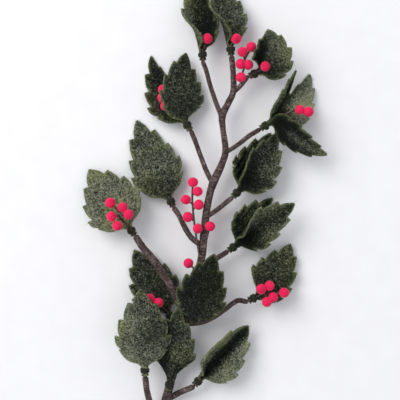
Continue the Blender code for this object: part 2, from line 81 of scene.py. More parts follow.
# A blade's outline. Places are shares of the blade's length. The last three say how unevenly
# the teeth are cut: along the edge, out from the rib, and the range of their depths.
WIDEST = 0.28
BASE_FULLNESS = 0.55
TIP_TAPER = 1.8
TIP_FULLNESS = 0.9
BASE_PLACES = (0.015, 0.06)
TOOTH_PLACES = (0.16, 0.36, 0.57, 0.79)
TIP_PLACE = 0.91
TIP_HALF_WIDTH = 0.7
TIP_POINT = 0.35
STAGGER = 0.012
LOBE_SHARE = 0.55
LOBE_DIP = 0.9
TOOTH_DEPTH = 3.6
TOOTH_POINT = (1.5, 0.2)
TOOTH_BACK = (1.16, 0.55)
TOOTH_NOTCH = 0.7
TOOTH_DRIFT = 0.35
TOOTH_SPREAD = 0.25
TOOTH_DEPTHS = (0.85, 1.15)

# How a blade bends, in lengths along the rib: the lean next to the tie, the arch beyond it, and
# the reach of the turned-up margins and of the furl.
LEAN_FROM = 6.5
LEAN_LENGTH = 12.0
ARCH_FROM = 16.0
LIP_FROM = 10.0
LIP_REACH = 20.0
FURL_REACH = 36.0
FURL_CREASE = 3.0
SECTION_STEPS = 16

# The felt's mesh: how far apart its points are, its rows as a share of that, how much they are
# shaken, and how its cut edge is rounded off.
LEAF_GRID = 0.95
GRID_ROWS = 0.87
GRID_SHAKE = 0.12
OUTLINE_STEP = 0.7
CUT_ROUNDNESS = 0.3
CUT_SHARE = 0.42
RIM_THINNING = 0.25
RIM_REACH = 0.5
# How far in from the cut the felt is paler, partly as painted light.
PALE_AND_PAINTED_LIGHT_EDGE_REACH = 0.7

# Uneven shapes: sums of smooth noise, as (wavelength, height, number added to the seed).
SHEET_SWELLS = ((15.0, 0.55, 0), (6.0, 0.2, 40))
MATTING = ((2.4, 0.10, 0), (1.1, 0.05, 9))
RAGGED_CUT = ((0.9, 0.12, 400),)
PLEAT_DRIFT = ((14.0, 0.8, 60),)
FLARE_LUMPS = ((1.6, 0.5, 80),)
TONE_DRIFT = ((16.0, 0.3, 500),)
TURN_DRIFT = ((9.0, 0.5, 0),)
TURN_RELIEF = ((4.0, 0.8, 3),)
CRINKLES = ((1.6, 0.07, 1),)
KNOBS = ((5.0, 0.05, 2),)
THREAD_DRIFT = ((2.0, 0.18, 0),)
THREAD_LUMPS = ((1.5, 0.14, 60),)
BERRY_LUMPS = ((0.7, 0.10, 0), (0.25, 0.05, 3))

# Where the swells, the pleats and the painted light and shade of a leaf come in and fade out.
# PLEAT_END and PLEAT_FADE are shares of its length. The end of its tab flares below the thread.
SWELL_RISE = 12.0
PLEAT_RISE = 3.0
PLEAT_END = 0.55
PLEAT_FADE = 0.3
PAINTED_SHADING_RISE = 9.0
TIE_SHADING_TO = 12.0
TIE_SHADING_FADE = 20.0
FLARE_LENGTH = 1.8
FLARE = 0.45

# Loose wool fibres: how many there are on a square millimetre of leaf, on a millimetre of cut
# edge and on a berry, and their lengths, radius, lift, and how light they are.
FACE_FIBRES = 0.56
EDGE_FIBRES = 1.7
BERRY_FIBRES = 60
FACE_HAIRS = {"length": (1.6, 4.2), "width": 0.055, "lift": (0.15, 0.5), "strand": (0.15, 1.0)}
EDGE_HAIRS = {"length": (0.5, 1.3), "width": 0.04, "lift": (0.0, 0.25), "strand": (0.4, 1.0)}
BERRY_HAIRS = {"length": (0.6, 1.6), "width": 0.03, "lift": (0.1, 0.3), "strand": (0.2, 1.0)}
EDGE_HAIR_SPREAD = 0.55
HAIR_CURL = 0.35
HAIR_SUNK = 0.08
HAIR_TAPER = ((0.0, 1.0), (0.5, 0.85), (1.0, 0.4))

# Where leaves are tied to a twig.
TWIG_TIP_RADIUS = 1.1
TAB_RADIUS = 2.1
TIE_ALONG_TAB = 4.0
TWIG_PAST_TIE = 3.6
TAPE_TO_TIE = 6.2
CLOSE = 6.0
GAP = 0.3

# Tape: (step along it, sides, width of a turn, depth of its relief). A turn rises to its edge
# over TURN_RISE of its width, and stands proud of RIDGE_LEVEL.
MAIN_TAPE = (0.45, 30, 2.4, 0.2)
TWIG_TAPE = (0.42, 22, 1.9, 0.2)
STALK_TAPE = (0.35, 12, 1.5, 0.14)
TURN_RISE = 0.8
TURN_RELIEF_MEAN = 0.75
TURN_RELIEF_RANGE = (0.1, 1.3)
RIDGE_LEVEL = 0.6

# The wire at the foot: (distance from its end, share of its radius).
MAIN_WIRE_RADIUS = 1.2
WIRE_PROUD = 1.0
WIRE_SIDES = 24
WIRE_END = ((0.0, 0.8), (0.05, 0.93), (0.2, 1.0), (1.0, 1.0), (6.0, 1.0), (12.0, 1.0))

# The thread of a tie: windings as (turns, start and end along the twig, radius).
WINDINGS = ((5.3, -1.6, 1.6, 2.95), (1.8, 1.2, -1.2, 3.25))
WINDING_STEPS = 20
THREAD_RADIUS = 0.42
THREAD_SIDES = 8
PLY_DEPTH = 0.09
PLY_TWIST = 4.8

# Berries and their stalks.
BERRY_RADIUS = 4.0
BERRY_STRETCH = (-0.05, 0.03)
STALK_RADIUS = 0.8
STALK_SUNK = 1.0

# The room, in metres: the window's and the sky's light, and the camera straight above.
FLOOR_REACH = 4.0
WINDOW_PLACE = (-1.6, 1.25, 2.1)
WINDOW_SIZE = 2.1
WINDOW_POWER = 59.0
WINDOW_COLOUR = (1.0, 0.992, 0.975)
SKY_COLOUR = (0.95, 0.96, 1.0, 1.0)
SKY_STRENGTH = 0.68
CAMERA_PLACE = (-0.0031, 0.0112, 0.75)
CAMERA_SENSOR = 36.0
CAMERA_LENS = 84.375

# Each path is a list of (x, y, z, tape radius), from the root outwards.
MAIN_STEM = [
    (-38, -185, 3.6, 3.6), (-36, -168, 4.0, 3.4), (-31, -147, 6.0, 3.5),
    (-22, -113, 10.0, 3.3), (-14, -83, 14.0, 3.4), (-8, -57, 16.0, 3.2),
    (-3, -35, 17.0, 3.1), (-1, -17, 17.0, 3.1), (1, 2, 17.0, 2.9),
    (4, 17, 17.0, 2.9), (7, 26, 17.0, 3.3), (13, 39, 16.5, 2.8),
    (16, 50, 16.0, 2.6), (14, 67, 15.5, 2.3), (13.5, 77, 15.5, 2.9),
    (18, 87, 15.5, 2.6), (22, 96, 16.0, 2.5), (22, 110, 16.5, 2.3),
    (21.5, 121, 17.0, 2.2),
]
TWIGS = {
    "a": [(13, 76, 15.5, 1.9), (8, 89, 16, 1.9), (4, 101, 16, 1.8), (1, 112, 16, 1.8),
          (-1, 120, 16, 1.8)],
    "c": [(21.5, 95, 16, 1.9), (28, 101, 16, 1.9), (33, 107.5, 16, 1.8)],
    "d": [(6, 24, 17, 2.1), (1, 34, 16.5, 2.0), (-4, 47, 16, 1.9), (-8, 58, 15, 1.9),
          (-11, 65, 14.5, 1.9)],
    "e": [(15.7, 48, 16, 1.7), (25, 54, 17, 1.8), (34, 61, 18, 1.9), (42, 66, 19, 1.9)],
    "f": [(-2, -25, 17, 2.2), (-10, -19, 16, 2.2), (-15, -12, 15, 2.2), (-20, -2, 14, 2.1),
          (-24, 5, 13, 2.1)],
    "g": [(1, -2, 17, 1.9), (10, 4, 16, 1.9), (16, 9, 15, 1.9), (20, 12.5, 14.5, 1.9)],
    "h": [(-5, -45, 17, 2.1), (2, -39, 16, 2.1), (10, -34, 15, 2.1), (16, -30, 14.5, 2.0)],
    "i": [(-14, -83, 14, 2.8), (-21, -68, 16.5, 3.0), (-28, -54, 20, 3.0), (-38, -38, 22, 3.0),
          (-48, -26, 22, 2.8), (-55, -17, 21, 2.6)],
    "j": [(-21, -109, 10.5, 1.8), (-24, -95, 9, 1.8), (-26, -85, 9, 1.8)],
    "k": [(-8.2, -85.2, 14.4, 1.8)],
    "l": [(-36, -168, 4, 2.4), (-42, -152, 13, 2.5), (-45, -138, 22, 2.4), (-46.5, -127, 26, 2.4)],
    "m": [(-33, -155, 5.5, 2.3), (-29, -142, 14, 2.2)],
    "n": [(-15, -86, 14, 2.0), (-4, -85, 15, 2.0), (6, -81, 15.5, 2.0), (15, -75, 15, 2.0),
          (25, -68, 14.5, 2.0), (32, -67, 14, 2.0)],
    "o": [(-31, -148, 6, 2.4), (-22, -142, 9, 2.4), (-13, -135, 11.5, 2.3)],
}

# Tie points: (x, y, z), heading and pitch of the twig end.
TIES = {
    "a": ((-2, 125, 16), 95, 0),
    "b": ((20, 129, 17), 97, 0),
    "c": ((38.5, 110, 16), 26, 6),
    "d": ((-14, 70, 14), 121, -2),
    "e": ((47, 69, 20), 32, 8),
    "f": ((-27, 10, 12), 117, -2),
    "g": ((25, 17, 14), 45, 0),
    "h": ((22, -26, 14), 36, 0),
    "i": ((-57.5, -12.5, 20), 126, -4),
    "j": ((-28, -80, 9), 119, -4),
    "k": ((-8.6, -81, 22), 73, 60),
    "l": ((-46.5, -120, 27), 93, 2),
    "m": ((-28, -133, 17.2), 83, 3),
    "n": ((38, -66, 14), 24, 0),
    "o": ((-5.5, -131.5, 12), 47, 2),
}

# What a leaf has unless its entry says otherwise.
LEAF_DEFAULTS = {
    "wrap": 110,  # how far the tab reaches round the twig on each side
    "roll": 0,  # turn about the twig: 0 is under it, hollow up; 180 is over it, back up
    "lean": 0,  # how far the blade tips away from the twig
    "arch": 0,  # how far it curls back towards its hollow face by the tip
    "veer": 0,  # how far it swings to its right by the tip
    "sway": 0,  # how far only its outer part swings to its right
    "fold": (14, 14),  # how far the left and right edges fold up from the rib
    "crease": (1.0, 1.0),  # how near the rib each half folds
    "lip": (45, 45),  # how far the margins turn up near the tie
    "furl": (0, 0),  # how far each whole half turns up near the tie
    "open": (4.5, 4.5),  # the length over which each half opens out from the tab
    "long": 1.0,  # the leaf's length as a share of the usual one
    "wide": (1.0, 1.0),  # each half's width as a share of the usual one
}
LEAVES = {
    "leaf_a": {"tie": "a", "wrap": 116, "roll": -14, "lean": 8, "fold": (48, 62),
        "crease": (1.2, 1.6), "lip": (10, 10), "open": (34, 5), "wide": (0.8, 0.84)},
    "leaf_b": {"tie": "b", "wrap": 114, "roll": -16, "lean": 8, "fold": (66, 40),
        "crease": (1.4, 1.4), "lip": (10, 10), "open": (34, 5), "wide": (0.84, 0.84)},
    "leaf_c": {"tie": "c", "roll": -8, "lean": -18, "veer": -78, "arch": 24, "fold": (90, 12),
        "crease": (1.4, 1.0), "lip": (30, 0), "open": (14, 5), "long": 0.74, "wide": (0.8, 0.94)},
    "leaf_d_under": {"tie": "d", "wrap": 74, "lean": 18, "veer": 5, "fold": (12, -20),
        "lip": (24, 0), "long": 1.12, "wide": (1.0, 0.3)},
    "leaf_d_over": {"tie": "d", "wrap": 74, "roll": 155, "veer": -46, "lean": 8, "fold": (-12, -8),
        "lip": (0, 0), "wide": (0.9, 0.84)},
    "leaf_e_left": {"tie": "e", "wrap": 38, "roll": -68, "lean": 24, "veer": -12, "arch": -18,
        "fold": (4, -20), "lip": (0, 0), "open": (8, 5), "long": 0.84, "wide": (0.62, 0.05)},
    "leaf_e_far": {"tie": "e", "wrap": 38, "roll": 22, "lean": 30, "veer": -42, "arch": 14,
        "fold": (-10, 0), "lip": (0, 0), "long": 1.04, "wide": (0.42, 0.86)},
    "leaf_e_over": {"tie": "e", "wrap": 40, "roll": 170, "lean": 36, "veer": -150, "sway": 84,
        "arch": 64, "fold": (-16, -10), "lip": (0, 0), "furl": (0, 24), "wide": (0.5, 0.54)},
    "leaf_f": {"tie": "f", "lean": 9, "veer": 6, "long": 1.2},
    "leaf_g_under": {"tie": "g", "wrap": 76, "lean": 16, "veer": -24, "fold": (40, -32),
        "lip": (0, 0), "long": 0.97, "wide": (0.92, 0.7)},
    "leaf_g_over": {"tie": "g", "wrap": 76, "roll": 180, "veer": 18, "lean": 5, "arch": 16,
        "fold": (-8, -50), "crease": (1.0, 1.8), "lip": (0, 0), "furl": (0, -70), "open": (7, 5),
        "long": 0.96, "wide": (0.92, 0.7)},
    "leaf_h_under": {"tie": "h", "wrap": 76, "lean": 14, "veer": -24, "fold": (50, -20),
        "lip": (0, 0), "long": 0.88, "wide": (1.0, 0.3)},
    "leaf_h_over": {"tie": "h", "wrap": 76, "roll": 180, "lean": 8, "fold": (-8, -44),
        "crease": (1.0, 1.8), "lip": (0, 0), "furl": (0, -90), "open": (12, 5),
        "wide": (0.74, 0.86)},
    "leaf_i": {"tie": "i", "lean": 10, "fold": (10, 10), "long": 1.03, "wide": (1.15, 1.15)},
    "leaf_j": {"tie": "j", "fold": (12, 12), "wide": (0.96, 0.96)},
    "leaf_k": {"tie": "k", "roll": 180, "lean": -54, "arch": 8, "fold": (16, 16), "lip": (20, 20),
        "wide": (0.95, 0.95)},
    "leaf_l": {"tie": "l", "roll": 176, "arch": 14, "fold": (16, 16), "long": 1.06,
        "wide": (1.05, 1.05)},
    "leaf_m": {"tie": "m", "wrap": 80, "roll": 180, "lean": 2, "fold": (22, 22), "lip": (0, 0),
        "open": (24, 28), "long": 1.04, "wide": (0.86, 0.9)},
    "leaf_n": {"tie": "n", "lean": 10, "veer": -50, "lip": (15, 15), "long": 0.92,
        "wide": (1.0, 0.76)},
    "leaf_o": {"tie": "o", "roll": -20, "fold": (60, 60), "crease": (1.8, 1.8), "open": (14, 14),
        "wide": (1.05, 1.05)},
}

# Painted light and shade on each leaf's felt, lighter where a half faces the light and darker in
# folds, turned-away halves and the gathered base: on its left, along its rib, on its right and, added
# to these, near its tie.
PAINTED_LEAF_SHADING = {
    "leaf_a": (0.2, -1.1, -1.5, -0.4),
    "leaf_b": (-0.2, -0.2, 0.0, -0.8),
    "leaf_c": (-1.8, 0.0, 0.1, -0.5),
    "leaf_d_under": (-0.8, -1.1, -1.2, -0.2),
    "leaf_d_over": (-0.45, -0.5, -0.4, -0.2),
    "leaf_e_left": (-0.2, -2.0, -1.2, -0.3),
    "leaf_e_far": (-2.6, 0.3, 1.2, -3.0),
    "leaf_e_over": (-1.9, 0.1, -1.4, -3.0),
    "leaf_f": (0.0, 0.05, 0.0, -0.6),
    "leaf_g_under": (-1.0, -1.5, -1.2, -0.9),
    "leaf_g_over": (-0.1, -0.7, -0.9, -1.2),
    "leaf_h_under": (-0.7, -1.5, -0.9, -0.6),
    "leaf_h_over": (-0.15, -0.8, 0.0, -2.2),
    "leaf_i": (0.5, 0.45, 0.45, 0.1),
    "leaf_j": (-0.3, -0.5, -0.6, 0.0),
    "leaf_k": (-1.1, -1.2, -1.2, 0.4),
    "leaf_l": (-0.1, -0.05, 0.3, 0.35),
    "leaf_m": (-0.2, -0.4, -1.5, -0.3),
    "leaf_n": (-0.5, -0.35, -0.6, -0.3),
    "leaf_o": (0.5, -1.8, 0.65, 0.0),
}

# Pleats along a leaf: on which side, how far apart in degrees a millimetre, and how deep.
PLEATS = {
    "leaf_g_under": (-1, 75.0, 1.1),
    "leaf_h_under": (-1, 60.0, 0.7),
    "leaf_h_over": (1, 50.0, 0.5),
    "leaf_e_over": (-1, 42.0, 0.9),
    "leaf_e_left": (-1, 60.0, 0.5),
}

# Each spray: the tie that its stalk starts at, or none; its berries as (x, y, z); its stalks.
BERRIES = {
    "berries_a": ("a", [(1.8, 136.9, 20.0)], [[(1.8, 136.9, 20.0)]]),
    "berries_b": ("b", [(24.2, 136.6, 20.8)], [[(24.2, 136.6, 20.8)]]),
    "berries_c": ("c", [(46.6, 114.8, 22.8)], [[(46.6, 114.8, 22.8)]]),
    "berries_d": (
        "d", [(-33, 98, 14), (-33.5, 91.5, 14), (-31, 85, 14)],
        [[(-24, 79.5, 13), (-31, 85, 14), (-33.5, 91.5, 14), (-33, 98, 14)]],
    ),
    "berries_e": (
        "e", [(73, 80.8, 26), (79.8, 79.4, 26)],
        [[(60, 76.8, 21.6), (67, 80, 23.5), (73, 80.8, 26), (79.8, 79.4, 26)]],
    ),
    "berries_i": (
        "i", [(-73, 9, 28.5), (-63.5, 5.5, 29.5), (-72, -1.5, 29.5), (-59, 0, 30.5),
              (-67.5, -8.5, 30.5)],
        [[(-64.4, -4, 24), (-66.6, -1, 28), (-67, 3, 28), (-73, 9, 28)],
         [(-66.6, -1, 28), (-63.5, 5.5, 29)],
         [(-66.6, -1, 28), (-72, -1.5, 29)],
         [(-66.6, -1, 28), (-59, 0, 30)],
         [(-66.6, -1, 28), (-67.5, -8.5, 30)]],
    ),
    "berries_j": ("j", [(-43, -66, 17), (-36.5, -69, 18)], [[(-36.5, -69, 18), (-43, -66, 17)]]),
    "berries_k": (None, [(-13, -38, 20)], [[(-7, -47, 20.6), (-9, -42, 21), (-13, -38, 20)]]),
    "berries_left": (
        None, [(-9.5, 25, 20), (-5.8, 17.8, 21), (-15, 11.5, 21), (-5, 7.5, 22), (-13.5, -2, 21),
               (-5.8, -11, 23)],
        [[(-4.8, -30, 20.6), (-6.6, -20, 21), (-8.5, -6, 20.5), (-10, 12, 19.5), (-9.5, 25, 20)],
         [(-10, 15, 19.5), (-5.8, 17.8, 21)],
         [(-9.6, 8, 19.8), (-15, 11.5, 21)],
         [(-9.4, 4, 20), (-5, 7.5, 22)],
         [(-8.6, -5, 20.5), (-13.5, -2, 21)],
         [(-7.4, -14, 20.7), (-5.8, -11, 23)]],
    ),
    "berries_n": (
        "n", [(43.5, -58, 22), (50, -55.5, 21), (61.5, -61, 20), (48, -68, 22), (53, -64.5, 19)],
        [[(45, -62, 18), (53, -62, 19), (61.5, -61, 20)],
         [(46, -62, 18), (43.5, -58, 22)],
         [(49, -62, 18.5), (50, -55.5, 21)],
         [(47, -62, 18.2), (48, -68, 22)],
         [(51, -62, 19), (53, -64.5, 19)]],
    ),
    "berries_right": (
        None, [(3.8, -9.2, 23.8)],
        [[(-1.4, -31, 21.4), (1, -20, 22), (2.4, -14, 22.6), (3.8, -9.2, 23.8)]],
    ),
    "berries_top": (
        None, [(27.8, 106.6, 21.5), (27.5, 117, 21), (33.5, 116.5, 20), (29, 126.4, 21),
               (36, 130.4, 20)],
        [[(28, 103, 18.3), (27.8, 106.6, 21.5), (30, 113, 18), (31, 120.6, 18), (34, 126.6, 18),
          (36, 130.4, 20)],
         [(30.2, 113.6, 18), (27.5, 117, 21)],
         [(30.2, 113.6, 18), (33.5, 116.5, 20)],
         [(31, 120.6, 18), (29, 126.4, 21)]],
    ),
}


# ---- helpers


def smooth(t):
    """0 up to 1 as t goes from 0 to 1, level at both ends."""
    t = np.clip(t, 0.0, 1.0)
    return t * t * (3 - 2 * t)


def lumps(points, wavelength, seed):
    """Smooth noise from about -1 to 1 at each point, for lumps of about that wavelength."""
    shift = Vector((seed * 7.3, seed * 3.1, seed * 5.7))
    return np.array([noise.noise(Vector(p) / wavelength + shift) for p in points])


def relief(points, layers, seed):
    """The sum of several sizes of lumps at each point."""
    return sum(height * lumps(points, wavelength, seed + more) for wavelength, height, more in layers)


def unit(vectors):
    """The vectors at length 1."""
    return vectors / np.maximum(np.linalg.norm(vectors, axis=-1, keepdims=True), 1e-9)


def smooth_path(points, step):
    """Points on a Catmull-Rom curve through the given ones, about one step apart."""
    knots = [np.array(p, float) for p in points]
    ends = [2 * knots[0] - knots[1], *knots, 2 * knots[-1] - knots[-2]]
    made = [knots[0]]
    for a, b, c, d in zip(ends, ends[1:], ends[2:], ends[3:]):
        count = max(1, round(float(np.linalg.norm((c - b)[:3])) / step))
        for i in range(1, count + 1):
            t = i / count
            made.append(
                0.5 * (2 * b + (c - a) * t + (2 * a - 5 * b + 4 * c - d) * t**2
                       + (3 * b - a - 3 * c + d) * t**3)
            )
    return np.array(made)


def direction(heading, pitch):
    """The unit vector with this heading (from +X, anticlockwise) and this angle above level."""
    h, p = math.radians(heading), math.radians(pitch)
    return Vector((math.cos(h) * math.cos(p), math.sin(h) * math.cos(p), math.sin(p)))


def tie_frame(tie):
    """The tie point and the unit vectors along the twig, to its right and up from it."""
    point, heading, pitch = TIES[tie]
    along, h = direction(heading, pitch), math.radians(heading)
    right = Vector((math.sin(h), -math.cos(h), 0))
    return Vector(point), along, right, right.cross(along)


def placed(name, data, place=(0, 0, 0)):
    """A new object in the scene."""
    made = bpy.data.objects.new(name, data)
    made.location = place
    bpy.context.scene.collection.objects.link(made)
    return made


class Shape:
    """Points, faces and per-point values of one piece, gathered from several parts."""

    def __init__(self):
        self.points, self.faces, self.values = [], [], {}
        self.count = 0

    def add(self, points, faces, **values):
        """Adds a part. faces are index lists, and each value is one number or one a point."""
        points = np.asarray(points, float)
        self.points.append(points)
        self.faces.extend([tuple(int(i) + self.count for i in f) for f in faces])
        for name in set(values) | set(self.values):
            given = values.get(name, 0.0)
            column = self.values.setdefault(name, [np.zeros(self.count)])
            column.append(np.broadcast_to(np.asarray(given, float), (len(points),)))
        self.count += len(points)

    def make(self, name, finish, node, lowest=LOWEST):
        """The piece as an object, riding on the sprig's body and standing for its frame node."""
        points = (np.concatenate(self.points) - (MIDDLE_X, 0, 0)) * MM
        points[:, 2] = np.maximum(points[:, 2], lowest * MM)
        mesh = bpy.data.meshes.new(name)
        mesh.from_pydata(points.tolist(), [], self.faces)
        for label, columns in self.values.items():
            layer = mesh.attributes.new(label, "FLOAT", "POINT")
            layer.data.foreach_set("value", np.concatenate(columns).astype(np.float32))
        mesh.polygons.foreach_set("use_smooth", [True] * len(mesh.polygons))
        mesh.materials.append(finish)
        mesh.update()
        made = placed(name, mesh)
        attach(made, BODY)
        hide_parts(node)
        return made


def sweep(path, radii, sides):
    """Points and faces of a closed tube along a path. radii has a row for each ring."""
    path = np.asarray(path, float)
    tangents = unit(np.gradient(path, axis=0))
    across = Vector(tangents[0]).orthogonal().normalized()
    angles = 2 * math.pi * np.arange(sides) / sides
    rings = []
    for centre, tangent, row in zip(path, tangents, radii):
        tangent = Vector(tangent)
        across = (across - across.dot(tangent) * tangent).normalized()
        up = tangent.cross(across)
        out = np.outer(np.cos(angles), across) + np.outer(np.sin(angles), up)
        rings.append(centre + out * np.reshape(row, (-1, 1)))
    points = np.concatenate([*rings, path[:1], path[-1:]])
    around = [(k, (k + 1) % sides) for k in range(sides)]
    last = (len(path) - 1) * sides
    faces = [
        (i + k, i + n, i + sides + n, i + sides + k) for i in range(0, last, sides) for k, n in around
    ]
    for k, n in around:
        faces += [(last + sides, n, k), (last + sides + 1, last + k, last + n)]
    return points, faces


# ---- materials


class Finish:
    """A Principled material, and the textures of its colour and its bump."""

    def __init__(self, name, bump_strength, bump_distance, **settings):
        """settings are the shader's own constants, with _ for the spaces in their names."""
        self.material = bpy.data.materials.new(name)
        self.material.use_nodes = True
        self.nodes = self.material.node_tree.nodes
        self.link = self.material.node_tree.links.new
        self.shader = self.nodes["Principled BSDF"]
        for setting, value in settings.items():
            self.shader.inputs[setting.replace("_", " ")].default_value = value
        self.bump = self.nodes.new("ShaderNodeBump")
        self.bump.inputs["Strength"].default_value = bump_strength
        self.bump.inputs["Distance"].default_value = bump_distance
        self.link(self.bump.outputs["Normal"], self.shader.inputs["Normal"])

    def noise(self, scale, detail, rough, distortion):
        """A noise texture over the piece's own coordinates, which are in metres."""
        where = self.nodes.new("ShaderNodeTexCoord")
        made = self.nodes.new("ShaderNodeTexNoise")
        made.inputs["Scale"].default_value = scale
        made.inputs["Detail"].default_value = detail
        made.inputs["Roughness"].default_value = rough
        made.inputs["Distortion"].default_value = distortion
        self.link(where.outputs["Object"], made.inputs["Vector"])
        return made.outputs[0]

    def value(self, name):
        """One of the piece's per-point values."""
        made = self.nodes.new("ShaderNodeAttribute")
        made.attribute_name = name
        return made.outputs["Fac"]

    def put(self, given, socket):
        """Gives a socket its colour or number, or links another socket to it."""
        if isinstance(given, tuple):
            socket.default_value = (*given, 1.0)
        elif isinstance(given, (int, float)):
            socket.default_value = given
        else:
            self.link(given, socket)

    def maths(self, operation, a, b):
        """A maths node over two sockets or numbers."""
        made = self.nodes.new("ShaderNodeMath")
        made.operation = operation
        self.put(a, made.inputs[0])
        self.put(b, made.inputs[1])
        return made.outputs[0]

    def total(self, *terms):
        """The sum of (socket, weight) terms and plain numbers."""
        made = None
        for term in terms:
            if isinstance(term, tuple):
                term = self.maths("MULTIPLY", *term)
            made = term if made is None else self.maths("ADD", made, term)
        return made

    def ramp(self, value, stops):
        """A colour ramp over a value. stops are (place, colour)."""
        made = self.nodes.new("ShaderNodeValToRGB")
        elements = made.color_ramp.elements
        while len(elements) < len(stops):
            elements.new(0.5)
        for element, (place, colour) in zip(elements, stops):
            element.position = place
            element.color = (*colour, 1.0)
        self.link(value, made.inputs["Fac"])
        return made.outputs["Color"]

    def mixed(self, factor, a, b, kind="MIX"):
        """A colour mix of two sockets or colours."""
        made = self.nodes.new("ShaderNodeMix")
        made.data_type = "RGBA"
        made.blend_type = kind
        first, second = [s for s in made.inputs if s.type == "RGBA"]
        self.put(factor, made.inputs[0])
        self.put(a, first)
        self.put(b, second)
        return [s for s in made.outputs if s.type == "RGBA"][0]

    def hair_lines(self, scale, distortion, width):
        """Thin winding lines, like fibres: 1 along their middles and 0 between them."""
        value = self.noise(scale, 1.5, 0.5, distortion)
        away = self.maths("ABSOLUTE", self.maths("SUBTRACT", value, 0.5), 0.0)
        line = self.maths("SUBTRACT", 1.0, self.maths("DIVIDE", away, width))
        return self.maths("MAXIMUM", line, 0.0)

    def finished(self, colour, height):
        """The material, once its colour and the height of its bump are linked."""
        self.link(colour, self.shader.inputs["Base Color"])
        self.link(height, self.bump.inputs["Height"])
        return self.material


def felt_material():
    """Matted wool: dark fibres with lighter ones lying across them, paler cut edges that are partly
    painted light, and painted light and shade on each leaf.
    """
    felt = Finish("green_felt", 0.8, 0.0007, Roughness=0.95, Specular_IOR_Level=0.04,
                  Sheen_Weight=0.015, Sheen_Roughness=0.6)
    lines = felt.hair_lines(330.0, 2.4, 0.06)
    more_lines = felt.hair_lines(480.0, 2.0, 0.06)
    mottle = felt.noise(780.0, 4.0, 0.75, 0.6)
    clumps = felt.noise(360.0, 2.0, 0.6, 0.8)
    patches = felt.noise(38.0, 2.0, 0.5, 0.3)
    tone, edge, strand = (felt.value(name) for name in ("tone", "edge", "strand"))
    # Painted light and shade: the level rises and falls with each point's painted shading and tone.
    level = felt.total((mottle, 2.45), (clumps, 0.8), (patches, 0.35), (lines, 0.26),
                       (more_lines, 0.24), (tone, 0.34), (edge, 0.10), -1.42)
    colour = felt.ramp(level, [
        (0.12, (0.006, 0.008, 0.007)),
        (0.38, (0.036, 0.040, 0.031)),
        (0.58, (0.106, 0.116, 0.084)),
        (0.90, (0.335, 0.355, 0.255)),
    ])
    # Some patches are more olive, cut edges are paler, partly as painted light, and the loose fibres
    # follow the tone and the painted light and shade.
    olive = felt.maths("MAXIMUM", felt.total((patches, 3.0), -1.35), 0.0)
    olive = felt.maths("MINIMUM", olive, 0.65)
    colour = felt.mixed(olive, colour, (1.12, 1.12, 0.62), "MULTIPLY")
    # The cut edge's colour: paler felt, partly painted light.
    pale_and_painted_light_edge_colour = felt.ramp(mottle, [(0.40, (0.085, 0.105, 0.045)), (0.60, (0.31, 0.355, 0.165))])
    colour = felt.mixed(felt.maths("MULTIPLY", edge, 0.6), colour, pale_and_painted_light_edge_colour)
    fibre_paleness_and_shade = felt.maths("MAXIMUM", felt.total((tone, 0.26), 0.85), 0.03)
    colour = felt.mixed(felt.maths("MULTIPLY", strand, fibre_paleness_and_shade), colour, (0.30, 0.33, 0.22))
    return felt.finished(colour, felt.total((lines, 0.5), (more_lines, 0.5), (mottle, 2.0)))


def tape_material():
    """Brown floral tape: crinkled, and paler along the raised edge of each turn."""
    tape = Finish("brown_tape", 0.6, 0.0004, Roughness=0.8, Specular_IOR_Level=0.25)
    grain = tape.noise(700.0, 4.0, 0.7, 0.6)
    patches = tape.noise(160.0, 3.0, 0.6, 0.4)
    level = tape.total((grain, 1.5), (patches, 0.8), (tape.value("ridge"), 0.25), -0.82)
    colour = tape.ramp(level, [
        (0.25, (0.018, 0.011, 0.010)),
        (0.50, (0.080, 0.054, 0.050)),
        (0.72, (0.190, 0.140, 0.132)),
        (0.92, (0.42, 0.34, 0.33)),
    ])
    return tape.finished(colour, grain)


def thread_material():
    """Dark green thread, twisted and slightly hairy."""
    thread = Finish("dark_thread", 0.6, 0.0003, Roughness=0.9, Specular_IOR_Level=0.2)
    grain = thread.noise(1300.0, 3.0, 0.7, 1.0)
    colour = thread.ramp(grain, [
        (0.32, (0.006, 0.006, 0.005)),
        (0.52, (0.026, 0.026, 0.019)),
        (0.72, (0.085, 0.085, 0.060)),
    ])
    return thread.finished(colour, grain)


def berry_material():
    """Matted red wool, slightly deeper in patches."""
    berry = Finish("red_berry", 0.35, 0.0003, Roughness=0.75, Specular_IOR_Level=0.2,
                   Sheen_Weight=0.15, Sheen_Roughness=0.5, Subsurface_Weight=0.15,
                   Subsurface_Scale=0.001, Subsurface_Radius=(1.0, 0.25, 0.3))
    grain = berry.noise(1000.0, 4.0, 0.65, 0.7)
    patches = berry.noise(210.0, 2.0, 0.5, 0.4)
    colour = berry.ramp(berry.total((grain, 0.6), (patches, 0.4)), [
        (0.32, (0.50, 0.002, 0.040)),
        (0.50, (0.78, 0.007, 0.085)),
        (0.70, (0.88, 0.025, 0.130)),
    ])
    strands = berry.maths("MULTIPLY", berry.value("strand"), 0.5)
    return berry.finished(berry.mixed(strands, colour, (0.9, 0.12, 0.2)), grain)


def wire_material():
    """Drawn steel with fine scratches."""
    wire = Finish("steel_wire", 0.2, 0.0001, Roughness=0.35, Metallic=1.0)
    grain = wire.noise(1500.0, 2.0, 0.5, 0.2)
    colour = wire.ramp(grain, [(0.3, (0.30, 0.29, 0.28)), (0.7, (0.55, 0.54, 0.53))])
    return wire.finished(colour, grain)


def floor_material():
    """A plain, nearly white surface."""
    white = Finish("white_surface", 0.05, 0.0005, Roughness=0.7)
    grain = white.noise(60.0, 3.0, 0.5, 0.0)
    colour = white.ramp(grain, [(0.3, (0.86, 0.86, 0.875)), (0.7, (0.885, 0.885, 0.90))])
    return white.finished(colour, grain)


# ---- leaves


